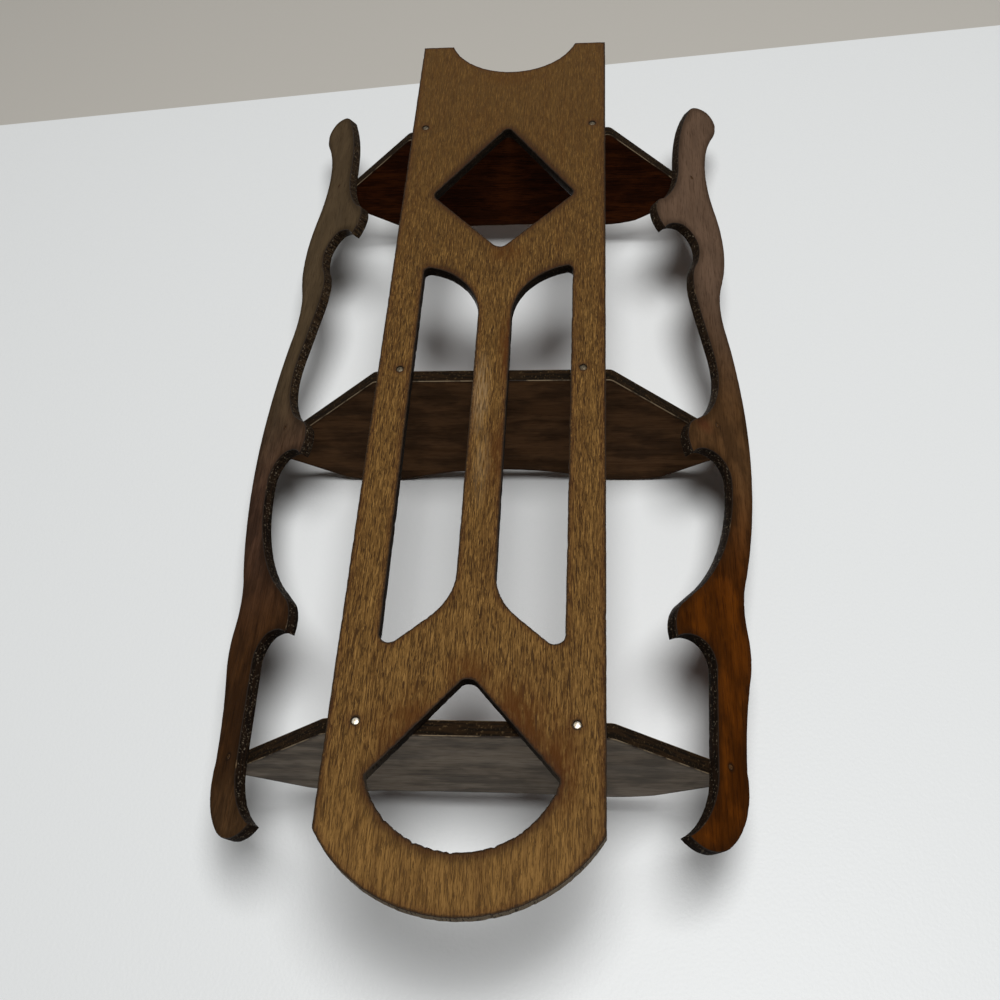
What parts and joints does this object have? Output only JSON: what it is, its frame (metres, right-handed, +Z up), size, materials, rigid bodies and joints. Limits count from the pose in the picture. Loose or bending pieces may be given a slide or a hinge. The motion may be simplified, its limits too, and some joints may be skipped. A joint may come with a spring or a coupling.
{
  "type": "wall shelf",
  "caption": "Tiered wall shelf: pierced back panel, shelves with slanted ends and scroll-sawn side uprights, glued and nailed in stained plywood, hung flat on a wall.",
  "frame": {"origin": "on the wall face of the back panel, on the centre line, level with the middle of the middle shelf", "axes": "X across the shelf, +Y into the wall with the shelves towards -Y, Z up"},
  "size_m": [0.2242, 0.0771, 0.448],
  "materials": {
    "raw_plywood": "matte",
    "stained_plywood": "satin",
    "nail_steel": "satin"
  },
  "bodies": {
    "root": {"back_panel": "raw_plywood", "top_shelf": "stained_plywood", "middle_shelf": "stained_plywood", "bottom_shelf": "stained_plywood", "left_upright": "stained_plywood", "right_upright": "stained_plywood", "top_shelf_nails": "nail_steel", "middle_shelf_nails": "nail_steel", "bottom_shelf_nails": "nail_steel", "left_upright_brads": "nail_steel", "right_upright_brads": "nail_steel"}
  },
  "joints": []
}
